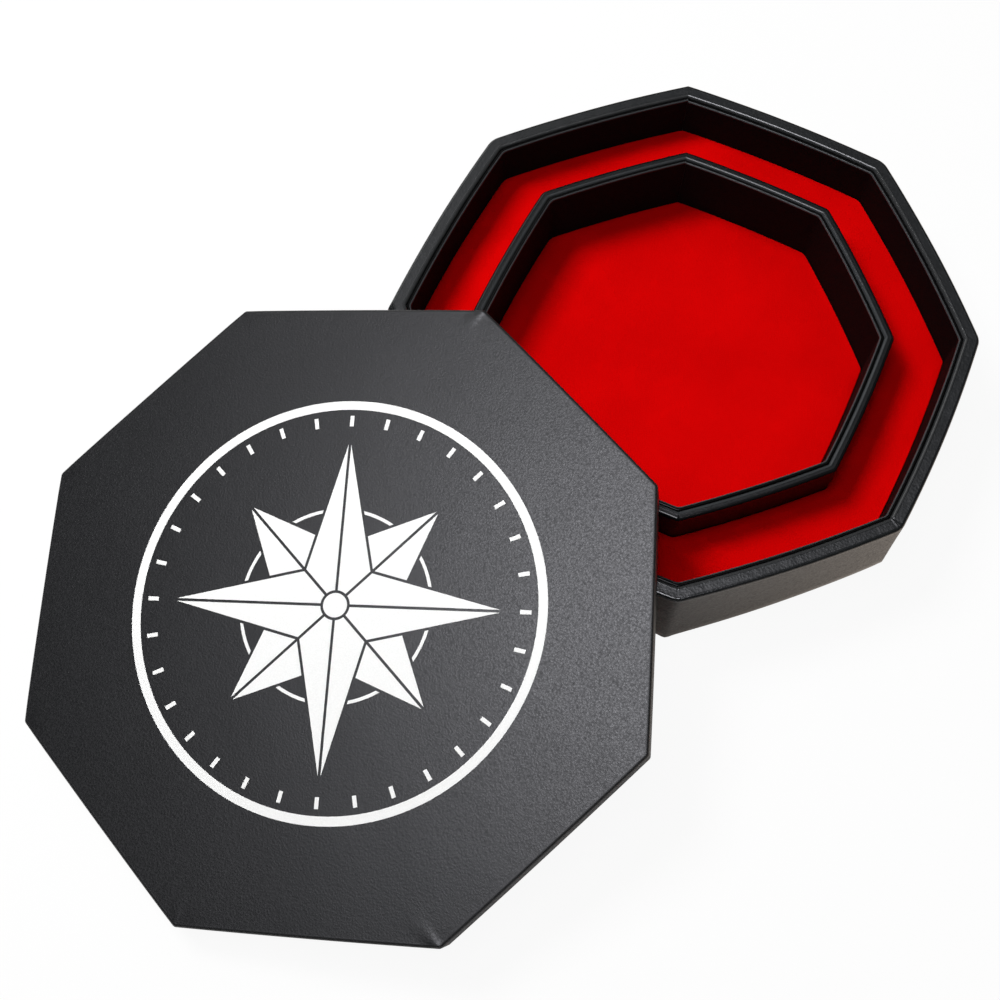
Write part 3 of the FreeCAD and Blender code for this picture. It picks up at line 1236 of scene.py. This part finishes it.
def white_table():
    """Matt white for lamps, mostly plain glow for the camera, and for reflections a warm pool of
    glow that is a painted reflection.
    """
    material, tree, place = new_material("white_table")
    rays = add(tree, "ShaderNodeLightPath", {})
    mirrored = add(
        tree,
        "ShaderNodeMath",
        {0: rays.outputs["Is Glossy Ray"], 1: rays.outputs["Is Transmission Ray"]},
        operation="MAXIMUM",
    )
    along = add(tree, "ShaderNodeVectorMath", {0: place, 1: POOL_WAY}, operation="DOT_PRODUCT")
    pool = add(
        tree,
        "ShaderNodeMapRange",
        {
            "Value": along.outputs["Value"],
            "From Min": POOL_START,
            "From Max": POOL_END,
            "To Min": POOL_DARKEST,
            "To Max": POOL_BRIGHTEST,
        },
    )
    dimmed = add(
        tree, "ShaderNodeMath", {0: mirrored.outputs[0], 1: pool.outputs[0]}, operation="MULTIPLY"
    )
    seen = add(
        tree,
        "ShaderNodeMath",
        {0: rays.outputs["Is Camera Ray"], 1: CAMERA_GLOW},
        operation="MULTIPLY",
    )
    share = add(
        tree, "ShaderNodeMath", {0: seen.outputs[0], 1: dimmed.outputs[0]}, operation="MAXIMUM"
    )
    speck = add(tree, "ShaderNodeTexNoise", {"Vector": place, "Scale": 40.0})
    tone = add(
        tree,
        "ShaderNodeMix",
        {"Factor": speck.outputs[0], 6: colour("#F3F3F3"), 7: colour("#F9F9F9")},
        data_type="RGBA",
    )
    matt = add(tree, "ShaderNodeBsdfDiffuse", {"Color": tone.outputs[2]})
    # Reflections see the glow warmer than the camera does, a painted warm reflection.
    warm = add(
        tree,
        "ShaderNodeMix",
        {"Factor": rays.outputs["Is Camera Ray"], 6: colour("#FFF0E2"), 7: colour("#FFFFFF")},
        data_type="RGBA",
    )
    glow = add(tree, "ShaderNodeEmission", {"Color": warm.outputs[2], "Strength": 1.0})
    both = add(
        tree, "ShaderNodeMixShader", {0: share.outputs[0], 1: matt.outputs[0], 2: glow.outputs[0]}
    )
    add(tree, "ShaderNodeOutputMaterial", {"Surface": both.outputs[0]})
    return material


table_size = 12.0
table_drop = 0.2
bm = bmesh.new()
bmesh.ops.create_grid(bm, x_segments=1, y_segments=1, size=table_size / 2)
bmesh.ops.translate(bm, verts=bm.verts, vec=(0, 0, -table_drop * MM))
mesh = bpy.data.meshes.new("table_top")
bm.to_mesh(mesh)
bm.free()
mesh.materials.append(white_table())
table = bpy.data.objects.new("table_top", mesh)
bpy.context.scene.collection.objects.link(table)
print("the table is", table_size, "m wide")

# %% [markdown]
# ## Lamps and world
#
# Four softboxes light the tray, and their places are in metres. One overhead gives only the
# sheen on the leatherette, and a weaker one in the same place only fills the colours, so that
# black stays black and red stays red. The key comes from the left and casts the soft shadows
# in the channel, and one at the back left puts a thin light on the edges. The world is white
# to the camera and nearly dark to everything else, so it doesn't grey the black.

# %% Softboxes
def soft_lamp(name, place, aim, size, power, tint):
    """A square lamp that faces a point."""
    data = bpy.data.lights.new(name, "AREA")
    data.shape = "SQUARE"
    data.size = size
    data.energy = power
    data.color = colour(tint)[:3]
    lamp = bpy.data.objects.new(name, data)
    lamp.location = place
    lamp.rotation_euler = (Vector(aim) - Vector(place)).to_track_quat("-Z", "Y").to_euler()
    bpy.context.scene.collection.objects.link(lamp)
    return lamp


middle = (-0.04, -0.10, 0.03)
overhead = (-0.134, -0.20, 1.55)
sheen = soft_lamp("sheen_softbox", overhead, middle, 0.6, 13.2, "#F8F8FF")
sheen.visible_diffuse = False
fill = soft_lamp("fill_softbox", overhead, middle, 0.6, 6.0, "#FFFFFF")
fill.visible_glossy = False
side = soft_lamp("side_softbox", (-1.05, 0.75, 1.05), middle, 0.8, 3.0, "#FFFFFF")
key = soft_lamp("key_softbox", (-0.84, 0.05, 1.25), middle, 0.5, 19.0, "#FFFFFF")
key.visible_glossy = False
for lamp in (sheen, fill, side, key):
    print(lamp.name, "has", round(lamp.data.energy, 1), "W")

# %% World
DIM_WORLD = 0.05
world = bpy.data.worlds.new("studio")
world.use_nodes = True
backdrop = world.node_tree.nodes["Background"]
backdrop.inputs["Color"].default_value = colour("#FFFFFF")
rays = add(world.node_tree, "ShaderNodeLightPath", {})
strength = add(
    world.node_tree,
    "ShaderNodeMapRange",
    {"Value": rays.outputs["Is Camera Ray"], "To Min": DIM_WORLD},
)
world.node_tree.links.new(strength.outputs[0], backdrop.inputs["Strength"])
scene = bpy.context.scene
scene.world = world
scene.view_settings.view_transform = "Standard"
print("the world lights the tray at", DIM_WORLD)

# %% [markdown]
# ## Camera
#
# The camera looks down on the tray from the front right. Its place, lens and slight roll come
# from matching the edges of rims, floors and lid.

# %% Camera
camera_place = Vector((66.22, -343.07, 635.02)) * MM
camera_aim = Vector((-50.83, -115.14, 0.0)) * MM
camera_roll = math.radians(-0.540)
camera_data = bpy.data.cameras.new("camera")
camera_data.sensor_width = 36.0
camera_data.lens = 45.283
camera = bpy.data.objects.new("camera", camera_data)
camera.location = camera_place
level = (camera_aim - camera_place).to_track_quat("-Z", "Y").to_matrix()
camera.rotation_euler = (level @ Matrix.Rotation(camera_roll, 3, "Z")).to_euler()
scene.collection.objects.link(camera)
scene.camera = camera
print("camera", [round(v, 3) for v in camera.location])
